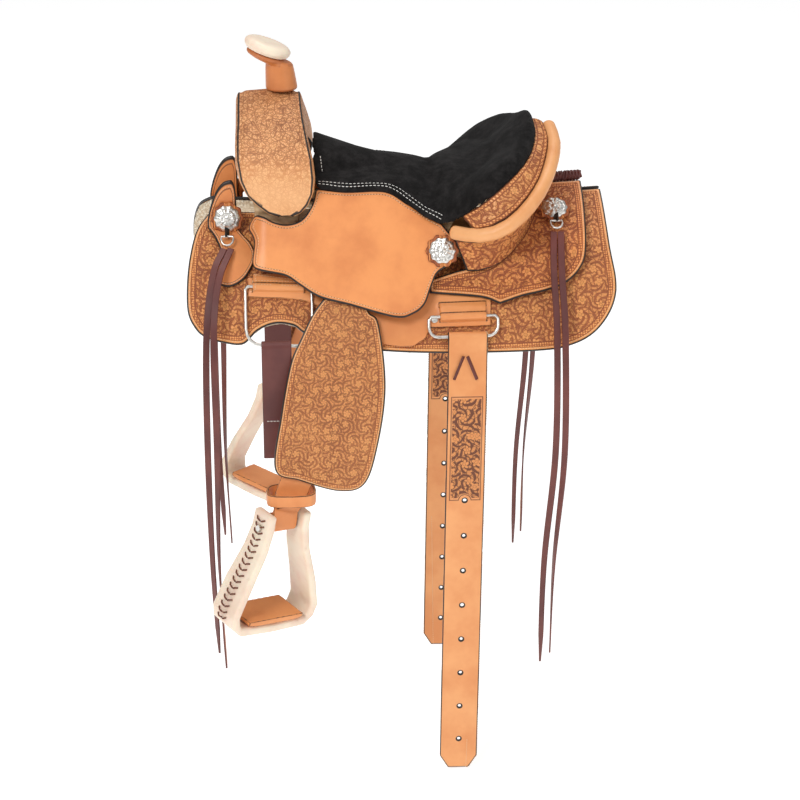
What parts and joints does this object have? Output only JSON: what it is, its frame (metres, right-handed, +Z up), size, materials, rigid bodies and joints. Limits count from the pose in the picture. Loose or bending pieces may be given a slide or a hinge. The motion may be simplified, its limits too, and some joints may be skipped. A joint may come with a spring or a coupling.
{
  "type": "western saddle",
  "caption": "Western riding saddle with a horn, a padded seat between fork and cantle, tooled skirts, hanging fenders with stirrups, rigging dees, a latigo and rear billets.",
  "frame": {"origin": "top of the horse-back arch under the saddle, on the centre line, below the middle of the seat", "axes": "+X towards the cantle (rear), -X towards the horn, -Y the near (left) side, +Z up"},
  "size_m": [0.5483, 0.5352, 0.9751],
  "materials": {
    "tree_wood": "plain",
    "tooled_leather": "tooled, oiled",
    "pale_tooled_leather": "basket stamped, oiled",
    "tan_leather": "smooth, oiled",
    "burgundy_leather": "latigo, waxed",
    "black_suede": "suede",
    "rawhide": "rawhide, polished",
    "fleece": "wool pile",
    "silver": "engraved, worn"
  },
  "bodies": {
    "saddle": {"fork": "tree_wood", "swell_cover": "pale_tooled_leather", "horn_core": "tree_wood", "horn_wrap": "tan_leather", "horn_cap": "rawhide", "ground_seat": "tree_wood", "seat_pad": "black_suede", "cantle_band": "tooled_leather", "cantle_back": "tooled_leather", "cantle_board": "tree_wood", "cantle_roll": "tan_leather", "rear_lacing": "burgundy_leather", "fleece_left": "fleece", "fleece_right": "fleece", "skirt_left": "tooled_leather", "skirt_right": "tooled_leather", "tree_bar_left": "tree_wood", "tree_bar_right": "tree_wood", "rear_jockey_left": "tooled_leather", "rear_jockey_right": "tooled_leather", "front_jockey_left": "tooled_leather", "front_jockey_right": "tooled_leather", "seat_jockey_left": "tan_leather", "seat_jockey_right": "tan_leather", "rigging_plate_left": "tan_leather", "rigging_plate_right": "tan_leather", "front_concho_left": "silver", "front_concho_right": "silver", "rear_concho_left": "silver", "rear_concho_right": "silver", "seat_concho_left": "silver", "seat_concho_right": "silver", "front_string_a_left": "burgundy_leather", "front_string_a_right": "burgundy_leather", "front_string_b_left": "burgundy_leather", "front_string_b_right": "burgundy_leather", "rear_string_a_left": "burgundy_leather", "rear_string_a_right": "burgundy_leather", "rear_string_b_left": "burgundy_leather", "rear_string_b_right": "burgundy_leather", "front_dee_left": "silver", "front_dee_right": "silver"},
    "latigo_left_body": {"latigo_left": "burgundy_leather"},
    "rear_dee_left": {"rear_dee_left": "silver"},
    "rear_billet_left_body": {"rear_billet_left": "tan_leather"},
    "fender_left_body": {"fender_left": "tooled_leather", "stirrup_leather_left": "tan_leather", "hobble_strap_left": "tan_leather"},
    "stirrup_left_body": {"stirrup_left": "rawhide", "stirrup_tread_left": "tan_leather", "stirrup_bolt_left": "silver"},
    "off_billet_right_body": {"off_billet_right": "burgundy_leather"},
    "rear_dee_right": {"rear_dee_right": "silver"},
    "rear_billet_right_body": {"rear_billet_right": "tan_leather"},
    "fender_right_body": {"fender_right": "tooled_leather", "stirrup_leather_right": "tan_leather", "hobble_strap_right": "tan_leather"},
    "stirrup_right_body": {"stirrup_right": "rawhide", "stirrup_tread_right": "tan_leather", "stirrup_bolt_right": "silver"}
  },
  "joints": [
    {"name": "latigo_swing_left", "type": "hinge", "parent": "saddle", "child": "latigo_left_body", "pos_m": [-0.161, -0.16553, -0.13281], "axis": [0.9993, 0, -0.0386], "range_deg": [-1, 25]},
    {"name": "rear_dee_swing_left", "type": "hinge", "parent": "saddle", "child": "rear_dee_left", "pos_m": [0.0725, -0.15028, -0.10322], "axis": [0.9998, 0, 0.0174], "range_deg": [-60, 0]},
    {"name": "rear_billet_swing_left", "type": "hinge", "parent": "rear_dee_left", "child": "rear_billet_left_body", "pos_m": [0.0725, -0.16157, -0.12646], "axis": [0.9998, 0, 0.0174], "range_deg": [-60, 0]},
    {"name": "fender_swing_left", "type": "hinge", "parent": "saddle", "child": "fender_left_body", "pos_m": [-0.075, -0.13684, -0.07569], "axis": [0, -0.91, 0.4145], "range_deg": [-1, 15]},
    {"name": "stirrup_swing_left", "type": "hinge", "parent": "fender_left_body", "child": "stirrup_left_body", "pos_m": [-0.164, -0.2085, -0.362], "axis": [0.7942, 0.5878, -0.1544], "range_deg": [-20, 5]},
    {"name": "off_billet_swing_right", "type": "hinge", "parent": "saddle", "child": "off_billet_right_body", "pos_m": [-0.161, 0.16553, -0.13281], "axis": [0.9993, 0, -0.0386], "range_deg": [-25, 1]},
    {"name": "rear_dee_swing_right", "type": "hinge", "parent": "saddle", "child": "rear_dee_right", "pos_m": [0.0725, 0.15028, -0.10322], "axis": [0.9998, 0, 0.0174], "range_deg": [0, 60]},
    {"name": "rear_billet_swing_right", "type": "hinge", "parent": "rear_dee_right", "child": "rear_billet_right_body", "pos_m": [0.0725, 0.16157, -0.12646], "axis": [0.9998, 0, 0.0174], "range_deg": [0, 60]},
    {"name": "fender_swing_right", "type": "hinge", "parent": "saddle", "child": "fender_right_body", "pos_m": [-0.075, 0.13684, -0.07569], "axis": [0, 0.91, 0.4145], "range_deg": [-15, 1]},
    {"name": "stirrup_swing_right", "type": "hinge", "parent": "fender_right_body", "child": "stirrup_right_body", "pos_m": [-0.164, 0.2085, -0.362], "axis": [0.7942, -0.5878, -0.1544], "range_deg": [-5, 20]}
  ]
}
